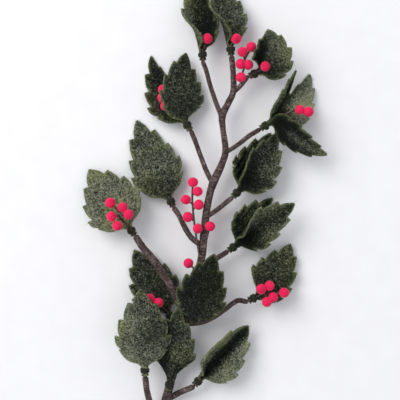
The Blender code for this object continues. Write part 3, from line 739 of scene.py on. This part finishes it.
def envelope(place):
    """Share of a blade's half width that its teeth reach, at a place along it."""
    rise = min(max(place, 0.0) / WIDEST, 1.0)
    fall = min(max((place - WIDEST) / (1 - WIDEST), 0.0), 1.0)
    return math.sin(math.pi / 2 * rise) ** BASE_FULLNESS * (1 - fall**TIP_TAPER) ** TIP_FULLNESS


def curve_2d(points):
    """A smooth curve through (u, w) points as a list of them, without the last point."""
    made = smooth_path([(u, w, 0.0) for u, w in points], OUTLINE_STEP)
    return [(u, w) for u, w, _ in made[:-1]]


def leaf_side(side, length, wide, tab, random):
    """One side of a leaf's cut outline as (along, out) points, from the tab's end to the tip."""
    blade = length - BLADE_START
    half_width = LEAF_HALF_WIDTH * wide
    shallow = min(wide, 1.0)
    made = curve_2d([(0.0, tab), (SPREAD_FROM, tab)])
    start = [(SPREAD_FROM, tab), (BLADE_START - SHOULDER[0], tab + SHOULDER[1])]
    start += [(BLADE_START + p * blade, half_width * envelope(p)) for p in BASE_PLACES]
    before = BASE_PLACES[-1]
    for tooth in TOOTH_PLACES:
        place = (1 - LOBE_SHARE) * before + LOBE_SHARE * tooth + STAGGER * side
        start.append((BLADE_START + place * blade, half_width * envelope(place) - LOBE_DIP * shallow))
        place = tooth + STAGGER * side
        u = BLADE_START + place * blade + random.normal(0, TOOTH_DRIFT)
        out = half_width * envelope(place) + random.normal(0, TOOTH_SPREAD) * shallow
        depth = TOOTH_DEPTH * shallow * random.uniform(*TOOTH_DEPTHS)
        point = (u + TOOTH_POINT[0], out + TOOTH_POINT[1] * shallow)
        back = (u + TOOTH_BACK[0], out - TOOTH_BACK[1] * depth)
        notch = (u + TOOTH_NOTCH, out - depth)
        made += curve_2d([*start, point]) + curve_2d([point, back, notch])
        start = [notch]
        before = tooth
    start.append((BLADE_START + TIP_PLACE * blade, half_width * TIP_FULLNESS * envelope(TIP_PLACE)))
    tip = (length, TIP_HALF_WIDTH)
    return made + curve_2d([*start, tip]) + [tip]


def leaf_outline(form, length, random):
    """The closed outline of a leaf's flat cut as (along, across) points, anticlockwise."""
    tab = TAB_RADIUS * math.radians(form["wrap"])
    left = leaf_side(-1, length, form["wide"][0], tab, random)
    right = leaf_side(1, length, form["wide"][1], tab, random)
    end = [(0.0, tab * k / 4) for k in (3, 2, 1, 0, -1, -2, -3)]
    return np.array([(u, -w) for u, w in left] + [(length + TIP_POINT, 0.0)] + right[::-1] + end)


def depth_inside(points, outline):
    """How far each point is inside a closed outline, or a negative number outside it."""
    a, b = outline, np.roll(outline, -1, axis=0)
    leg = b - a
    rel = points[:, None] - a[None]
    t = np.clip((rel * leg).sum(2) / np.maximum((leg**2).sum(1), 1e-12), 0, 1)
    away = np.linalg.norm(rel - t[..., None] * leg[None], axis=2).min(1)
    above = (a[None, :, 1] > points[:, None, 1]) != (b[None, :, 1] > points[:, None, 1])
    rise = np.where(np.abs(leg[:, 1]) < 1e-12, 1e-12, leg[:, 1])
    cross = points[:, None, 0] < a[:, 0] + (points[:, None, 1] - a[:, 1]) / rise * leg[:, 0]
    inside = (above & cross).sum(1) % 2 == 1
    return np.where(inside, away, -away)


def flat_mesh(outline, random):
    """Triangles that fill an outline: points, faces and each point's depth inside the outline."""
    low, high = outline.min(0), outline.max(0)
    rows = np.arange(low[1], high[1], LEAF_GRID * GRID_ROWS)
    grid = [
        (u + (LEAF_GRID / 2 if i % 2 else 0.0), v)
        for i, v in enumerate(rows)
        for u in np.arange(low[0], high[0], LEAF_GRID)
    ]
    grid = np.array(grid) + random.uniform(-GRID_SHAKE, GRID_SHAKE, (len(grid), 2))
    grid = grid[depth_inside(grid, outline) > 0.5 * LEAF_GRID]
    count = len(outline)
    edges = [(k, (k + 1) % count) for k in range(count)]
    given = np.concatenate([outline, grid])
    _, _, faces, origin, _, _ = delaunay_2d_cdt([Vector(p) for p in given], edges, [], 1, 1e-7)
    back = [o[0] for o in origin]
    faces = [tuple(back[i] for i in f) for f in faces]
    return given, faces, np.maximum(depth_inside(given, outline), 0.0)


def rib_frames(form, length):
    """Arrays of the points and unit vectors (along, right, up) at each step along a leaf's rib."""
    centre, along, right, up = tie_frame(form["tie"])
    turn = Matrix.Rotation(math.radians(-form["roll"]), 3, along)
    right, up = turn @ right, turn @ up
    point = centre - TIE_ALONG_TAB * along - TAB_RADIUS * up
    frames = []
    for k in range(int(length / RIB_STEP) + 4):
        u = k * RIB_STEP
        frames.append((point.copy(), along.copy(), right.copy(), up.copy()))
        near = 1 / LEAN_LENGTH if LEAN_FROM <= u < LEAN_FROM + LEAN_LENGTH else 0.0
        far = 1 / (length - ARCH_FROM) if u >= ARCH_FROM else 0.0
        pitch = math.radians((form["arch"] * far - form["lean"] * near) * RIB_STEP)
        veer = math.radians((form["veer"] * (near + far) / 2 + form["sway"] * far) * RIB_STEP)
        turn = Matrix.Rotation(pitch, 3, right) @ Matrix.Rotation(-veer, 3, up)
        point = point + along * RIB_STEP
        along, right, up = turn @ along, turn @ right, turn @ up
    return np.array(frames)


def slope(w, u, fold, crease, lip, furl, opening, wrap):
    """How steeply the felt is turned up at w out from the rib, in radians."""
    blend = smooth((u - SPREAD_FROM) / opening)
    tab = np.minimum(w / TAB_RADIUS, math.radians(wrap))
    share = np.minimum(w / LEAF_HALF_WIDTH, 1.0)
    folded = np.radians(fold) * (1 - (1 - share) ** crease)
    margin = np.radians(lip) * smooth(2 * share - 1) * (1 - smooth((u - LIP_FROM) / LIP_REACH))
    furled = np.radians(furl) * (1 - (1 - share) ** FURL_CREASE)
    furled *= 1 - smooth((u - LIP_FROM) / FURL_REACH)
    return (1 - blend) * tab + blend * (folded + (margin + furled))


def felt_surface(uv, form, frames):
    """The middle of the felt over (u, v) points, with its normals."""
    u, v = uv[:, 0], uv[:, 1]
    right_half = v >= 0
    bends = [
        np.where(right_half, form[key][1], form[key][0])
        for key in ("fold", "crease", "lip", "furl", "open")
    ]
    w = np.abs(v)
    step = w / SECTION_STEPS
    x = np.zeros(len(uv))
    z = np.zeros(len(uv))
    for k in range(SECTION_STEPS):
        angle = slope((k + 0.5) * step, u, *bends, form["wrap"])
        x += np.cos(angle) * step
        z += np.sin(angle) * step
    sign = np.where(right_half, 1.0, -1.0)
    angle = sign * slope(w, u, *bends, form["wrap"])
    at = np.clip(u / RIB_STEP, 0, len(frames) - 1.001)
    low = at.astype(int)
    part = (at - low)[:, None, None]
    point, _, right, up = np.moveaxis(frames[low] * (1 - part) + frames[low + 1] * part, 1, 0)
    right, up = unit(right), unit(up)
    # Points past the tab's end go on along the rib.
    beyond = (u - np.clip(u, 0, None))[:, None] * frames[0][1]
    middle = point + beyond + (sign * x)[:, None] * right + z[:, None] * up
    return middle, np.cos(angle)[:, None] * up - np.sin(angle)[:, None] * right


def bent_felt(name, number, uv, form, length):
    """The middle of a leaf's felt with its swells, pleats and flared tab, and its normals."""
    middle, normal = felt_surface(uv, form, rib_frames(form, length))
    u = uv[:, 0]
    flat = np.c_[uv, np.zeros(len(uv))]
    away = smooth((u - BLADE_START) / SWELL_RISE)
    middle = middle + normal * (away * relief(flat, SHEET_SWELLS, number))[:, None]
    if name in PLEATS:
        side, turn, deep = PLEATS[name]
        across = np.clip(side * uv[:, 1], 0, None)
        wave = np.sin(np.radians(turn * across) + relief(flat, PLEAT_DRIFT, number))
        fade = smooth(across / PLEAT_RISE)
        fade = fade * (1 - smooth((u - PLEAT_END * length) / (PLEAT_FADE * length)))
        middle = middle + normal * (away * deep * fade * wave)[:, None]
    flare = np.clip(1 - u / FLARE_LENGTH, 0, 1) ** 2
    middle = middle - normal * (flare * (FLARE + relief(flat, FLARE_LUMPS, number)))[:, None]
    return middle, normal


def thickness(u):
    """Half of the felt's thickness at u along the rib."""
    return (TAB_FELT + (FELT - TAB_FELT) * smooth((u - SPREAD_FROM) / THICKEN_LENGTH)) / 2


def fibres(shape, roots, ways, normals, random, length, width, lift, strand, tone=0.0):
    """Adds single wool fibres: thin curved three-sided hairs that start at the roots."""
    count = len(roots)
    sides = unit(np.cross(normals, ways))
    reach = random.uniform(*length, count)
    curl = random.normal(0, HAIR_CURL, count) * reach
    rise = random.uniform(*lift, count)
    rings = []
    for t, share in HAIR_TAPER:
        centre = roots + ways * (reach * t)[:, None] + sides * (curl * t * t)[:, None]
        centre = centre + normals * (rise * math.sin(math.pi * min(t, 0.9)) - HAIR_SUNK)[:, None]
        for k in range(3):
            a = 2 * math.pi * k / 3
            rings.append(centre + share * width * (math.cos(a) * sides + math.sin(a) * normals))
    points = np.stack(rings, axis=1).reshape(-1, 3)
    around = [(3, 4, 1, 0), (4, 5, 2, 1), (5, 3, 0, 2)]
    one = [tuple(i + 3 * s for i in f) for s in range(2) for f in around] + [(0, 1, 2), (8, 7, 6)]
    faces = [tuple(i + 9 * n for i in f) for n in range(count) for f in one]
    # Each hair takes the painted light and shade, and the tone, of its root.
    shape.add(points, faces, strand=np.repeat(random.uniform(*strand, count), 9),
              tone=np.repeat(np.broadcast_to(tone, (count,)), 9))


def leaf_painted_shading(name, uv):
    """The painted light and shade on a leaf's felt at its flat points, without the drift of its tone.
    """
    left, rib, right, shading_near_tie = PAINTED_LEAF_SHADING[name]
    side = np.where(uv[:, 1] >= 0, right, left)
    tone = rib + (side - rib) * smooth(np.abs(uv[:, 1]) / PAINTED_SHADING_RISE)
    return tone + shading_near_tie * (1 - smooth((uv[:, 0] - TIE_SHADING_TO) / TIE_SHADING_FADE))


def leaf(name, number, finish):
    """A leaf of thick felt: cut outline, gathered base, folds, matted faces and loose fibres."""
    form = {**LEAF_DEFAULTS, **LEAVES[name]}
    random = np.random.default_rng(100 + number)
    length = LEAF_LENGTH * form["long"]
    outline = leaf_outline(form, length, random)
    uv, triangles, depth = flat_mesh(outline, random)
    n, count = len(uv), len(outline)
    ahead = np.roll(outline, -1, axis=0)
    area = abs(np.sum(outline[:, 0] * ahead[:, 1] - ahead[:, 0] * outline[:, 1])) / 2
    rim_length = np.linalg.norm(ahead - outline, axis=1).sum()
    leg = ahead - np.roll(outline, 1, axis=0)
    outward = unit(np.stack([leg[:, 1], -leg[:, 0]], axis=1))

    # The middle of the felt: first under the points of its faces, then at its cut edge.
    uv_all = np.concatenate([uv, outline + CUT_ROUNDNESS * outward])
    middle, normal = bent_felt(name, number, uv_all, form, length)
    half = thickness(uv_all[:, 0])
    flat = np.c_[uv_all, np.zeros(len(uv_all))]
    face, rim = slice(0, n), slice(n, None)

    # Two faces with matted fibres, thinner near the cut, and a ragged rounded cut between them.
    crown = half[face] * (1 - RIM_THINNING * np.exp(-depth / RIM_REACH))
    top = middle[face] + normal[face] * (crown + relief(flat[face], MATTING, number + 200))[:, None]
    under = middle[face] - normal[face] * (crown + relief(flat[face], MATTING, number + 300))[:, None]
    out = unit(middle[rim] - middle[:count])
    ragged = out * relief(flat[rim], RAGGED_CUT, number)[:, None]
    upper = middle[rim] + normal[rim] * (CUT_SHARE * half[rim])[:, None] + ragged
    lower = middle[rim] - normal[rim] * (CUT_SHARE * half[rim])[:, None] + ragged
    points = np.concatenate([top, under, upper, lower])

    # Where it would sink into the surface, the felt is lifted on to it.
    sunk = np.maximum(0.0, FELT_LOWEST - np.minimum(top[:, 2], under[:, 2]))
    points[:, 2] += np.concatenate([sunk, sunk, sunk[:count], sunk[:count]])
    points[:, 2] = np.maximum(points[:, 2], FELT_LOWEST)

    faces = triangles + [tuple(i + n for i in reversed(f)) for f in triangles]
    for i in range(count):
        j = (i + 1) % count
        for a, b in ((0, 2 * n), (2 * n, 2 * n + count), (2 * n + count, n)):
            faces.append((a + j, a + i, b + i, b + j))
    # Nearness to the cut, for the paler edge that is partly painted light.
    edge = np.exp(-depth / PALE_AND_PAINTED_LIGHT_EDGE_REACH)
    # Painted light and shade over the leaf, with a random drift of its tone added.
    tone = leaf_painted_shading(name, uv)
    tone = np.concatenate([tone, tone, tone[:count], tone[:count]])
    tone += relief(points, TONE_DRIFT, number)
    shape = Shape()
    shape.add(points, faces, edge=np.concatenate([edge, edge, np.ones(2 * count)]),
              tone=tone, strand=0.0)

    # Fibres that lie on both faces, and hairs round the cut.
    on_blade = np.flatnonzero(uv[:, 0] > BLADE_START)
    for first, sign in ((0, 1.0), (n, -1.0)):
        pick = random.choice(on_blade, int(FACE_FIBRES * area / 2))
        ways = unit(np.cross(normal[pick], random.normal(0, 1, (len(pick), 3))))
        fibres(shape, points[first + pick], ways, sign * normal[pick], random, **FACE_HAIRS,
               tone=tone[pick])
    pick = random.choice(count, int(EDGE_FIBRES * rim_length))
    ways = unit(out[pick] + random.normal(0, EDGE_HAIR_SPREAD, (len(pick), 3)))
    fibres(shape, points[2 * n + pick], ways, normal[pick], random, **EDGE_HAIRS, tone=tone[pick])
    made = shape.make(name.replace("leaf", "felt_leaf"), finish, name, FELT_LOWEST)
    width, length = (outline.max(0) - outline.min(0))[::-1] * MM


# ---- stems


def twig_path(tie, step):
    """The path of a twig through its tie, with the tape thinned where the leaves are bound on."""
    path = list(MAIN_STEM if tie == "b" else TWIGS[tie])
    point, along, _, _ = tie_frame(tie)
    radius = path[-1][3]
    start = point - TAPE_TO_TIE * along
    while len(path) > 1 and (Vector(path[-1][:3]) - start).length < CLOSE:
        path.pop()
    path.append((*start, radius))
    path = list(smooth_path(path, step))
    thin = point - (TIE_ALONG_TAB + 2 * GAP) * along
    end = point + TWIG_PAST_TIE * along
    tail = [(*start, radius), (*thin, TWIG_TIP_RADIUS), (*end, TWIG_TIP_RADIUS)]
    for a, b in zip(tail, tail[1:]):
        a, b = np.array(a), np.array(b)
        count = max(1, round(float(np.linalg.norm((b - a)[:3])) / step))
        path += [a + (b - a) * k / count for k in range(1, count + 1)]
    return np.array(path)


def wrapped(path, sides, pitch, depth, seed):
    """A tube wound with tape: each turn's edge stands a little proud of the one below."""
    centres, radius = path[:, :3], path[:, 3]
    along = np.concatenate([[0.0], np.cumsum(np.linalg.norm(np.diff(centres, axis=0), axis=1))])
    line = np.c_[along, np.zeros((len(along), 2))]
    angles = np.arange(sides) / sides
    phase = (along / pitch + relief(line, TURN_DRIFT, seed))[:, None] - angles[None]
    turn = phase % 1.0
    ridge = np.where(turn < TURN_RISE, turn / TURN_RISE, (1 - turn) / (1 - TURN_RISE))
    strength = np.clip(TURN_RELIEF_MEAN + relief(line, TURN_RELIEF, seed), *TURN_RELIEF_RANGE)
    ridge = 0.5 + (ridge - 0.5) * strength[:, None]
    around = 2 * math.pi * angles[None]
    where = np.broadcast_arrays(along[:, None], 3 * np.cos(around), 3 * np.sin(around))
    where = np.stack(where, axis=2).reshape(-1, 3)
    crinkle = relief(where, CRINKLES, seed).reshape(phase.shape)
    knobs = relief(where, KNOBS, seed).reshape(phase.shape)
    radii = radius[:, None] * (1 + knobs) + depth * (ridge - RIDGE_LEVEL) + crinkle
    points, faces = sweep(centres, radii, sides)
    return points, faces, np.concatenate([ridge.ravel(), [0.0, 0.0]])


def stem(finish):
    """The main stem and all its twigs, wound with tape."""
    shape = Shape()
    for number, tie in enumerate(["b"] + [t for t in TIES if t != "b"]):
        step, *tape = MAIN_TAPE if tie == "b" else TWIG_TAPE
        points, faces, ridge = wrapped(twig_path(tie, step), *tape, number * 5)
        shape.add(points, faces, ridge=ridge)
    shape.make("tape_wrapped_stem", finish, "stem_tape")


def wire_end(finish):
    """The end of the stem's wire, cut off just past the tape."""
    first, second = Vector(MAIN_STEM[0][:3]), Vector(MAIN_STEM[1][:3])
    way = (second - first).normalized()
    end = first - WIRE_PROUD * way
    path = [end + place * way for place, _ in WIRE_END]
    radii = [np.full(WIRE_SIDES, MAIN_WIRE_RADIUS * share) for _, share in WIRE_END]
    shape = Shape()
    shape.add(*sweep(path, radii, WIRE_SIDES))
    shape.make("stem_wire", finish, "core_wire")


def tie_thread(tie, number, finish):
    """Turns of thread pulled tight round the leaf tabs, with a few turns crossing the others."""
    point, along, right, up = (np.array(v) for v in tie_frame(tie))
    random = np.random.default_rng(900 + number)
    around = 2 * math.pi * np.arange(THREAD_SIDES) / THREAD_SIDES
    shape = Shape()
    for winding, (turns, first, last, radius) in enumerate(WINDINGS):
        t = np.linspace(0, 1, int(turns * WINDING_STEPS))
        angle = 2 * math.pi * turns * t + random.uniform(0, 6.28)
        shift = first + (last - first) * t
        shift = shift + relief(np.c_[angle * 2, t, t], THREAD_DRIFT, number * 3 + winding)
        where = np.c_[3 * np.cos(angle), 3 * np.sin(angle), shift]
        out = (radius + relief(where, THREAD_LUMPS, number))[:, None]
        path = point + out * (np.cos(angle)[:, None] * right + np.sin(angle)[:, None] * up)
        path = path + shift[:, None] * along
        ply = PLY_DEPTH * np.cos(2 * around[None] - PLY_TWIST * angle[:, None])
        shape.add(*sweep(path, THREAD_RADIUS + ply, THREAD_SIDES))
    shape.make("thread_" + tie, finish, "tie_" + tie)


# ---- berries


def ball():
    """A unit ball of even triangles."""
    made = bmesh.new()
    bmesh.ops.create_icosphere(made, subdivisions=4, radius=1.0)
    points = np.array([v.co[:] for v in made.verts])
    faces = [tuple(v.index for v in f.verts) for f in made.faces]
    made.free()
    return points, faces


def spray(name, number, berry_finish, tape_finish):
    """The berries of one spray, and the wound wires that carry them."""
    tie, centres, stalks = BERRIES[name]
    random = np.random.default_rng(500 + number)
    round_ball, faces = ball()
    shape = Shape()
    for k, centre in enumerate(centres):
        stretch = 1 + random.uniform(*BERRY_STRETCH, 3)
        size = BERRY_RADIUS + relief(round_ball, BERRY_LUMPS, number * 10 + k)
        points = np.array(centre) + round_ball * stretch * size[:, None]
        shape.add(points, faces, strand=0.0)
        pick = random.choice(len(round_ball), BERRY_FIBRES)
        ways = unit(np.cross(round_ball[pick], random.normal(0, 1, (BERRY_FIBRES, 3))))
        fibres(shape, points[pick], ways, round_ball[pick], random, **BERRY_HAIRS)
    shape.make("felt_" + name, berry_finish, name)

    wires = Shape()
    step, *tape = STALK_TAPE
    if tie:
        point, along, _, _ = tie_frame(tie)
        root = point + (TWIG_PAST_TIE - STALK_SUNK) * along
        stalks = [[tuple(root), *stalks[0]], *stalks[1:]]
    for k, path in enumerate(stalks):
        path = smooth_path([(*p, STALK_RADIUS) for p in path], step)
        points, faces, ridge = wrapped(path, *tape, 700 + number * 10 + k)
        wires.add(points, faces, ridge=ridge)
    wires.make(name.replace("berries", "stalks"), tape_finish, name)


# ---- the room


def room():
    """A pale surface, soft light from the upper left and the camera straight above."""
    scene = bpy.context.scene
    mesh = bpy.data.meshes.new("floor")
    corners = [(x * FLOOR_REACH, y * FLOOR_REACH, 0) for x, y in ((-1, -1), (1, -1), (1, 1), (-1, 1))]
    mesh.from_pydata(corners, [], [(0, 1, 2, 3)])
    mesh.materials.append(floor_material())
    floor = placed("floor", mesh)

    window = bpy.data.lights.new("window", "AREA")
    window.shape = "DISK"
    window.size = WINDOW_SIZE
    window.energy = WINDOW_POWER
    window.color = WINDOW_COLOUR
    lamp = placed("window", window, WINDOW_PLACE)
    lamp.rotation_mode = "QUATERNION"
    lamp.rotation_quaternion = (-Vector(WINDOW_PLACE)).to_track_quat("-Z", "Y")

    sky = bpy.data.worlds.new("room")
    sky.use_nodes = True
    background = sky.node_tree.nodes["Background"]
    background.inputs["Color"].default_value = SKY_COLOUR
    background.inputs["Strength"].default_value = SKY_STRENGTH
    scene.world = sky

    camera = bpy.data.cameras.new("camera")
    camera.sensor_width = CAMERA_SENSOR
    camera.lens = CAMERA_LENS
    scene.camera = placed("camera", camera, CAMERA_PLACE)
    scene.view_settings.view_transform = "Standard"


def main():
    """Clears a default scene, then makes every piece of the sprig and its room."""
    for old in [o for o in bpy.data.objects if o.type in ("CAMERA", "LIGHT") or o.name == "Cube"]:
        bpy.data.objects.remove(old)
    felt, tape, thread = felt_material(), tape_material(), thread_material()
    red, steel = berry_material(), wire_material()
    for number, name in enumerate(LEAVES):
        leaf(name, number, felt)
    stem(tape)
    wire_end(steel)
    for number, tie in enumerate(TIES):
        tie_thread(tie, number, thread)
    for number, name in enumerate(BERRIES):
        spray(name, number, red, tape)
    room()


main()
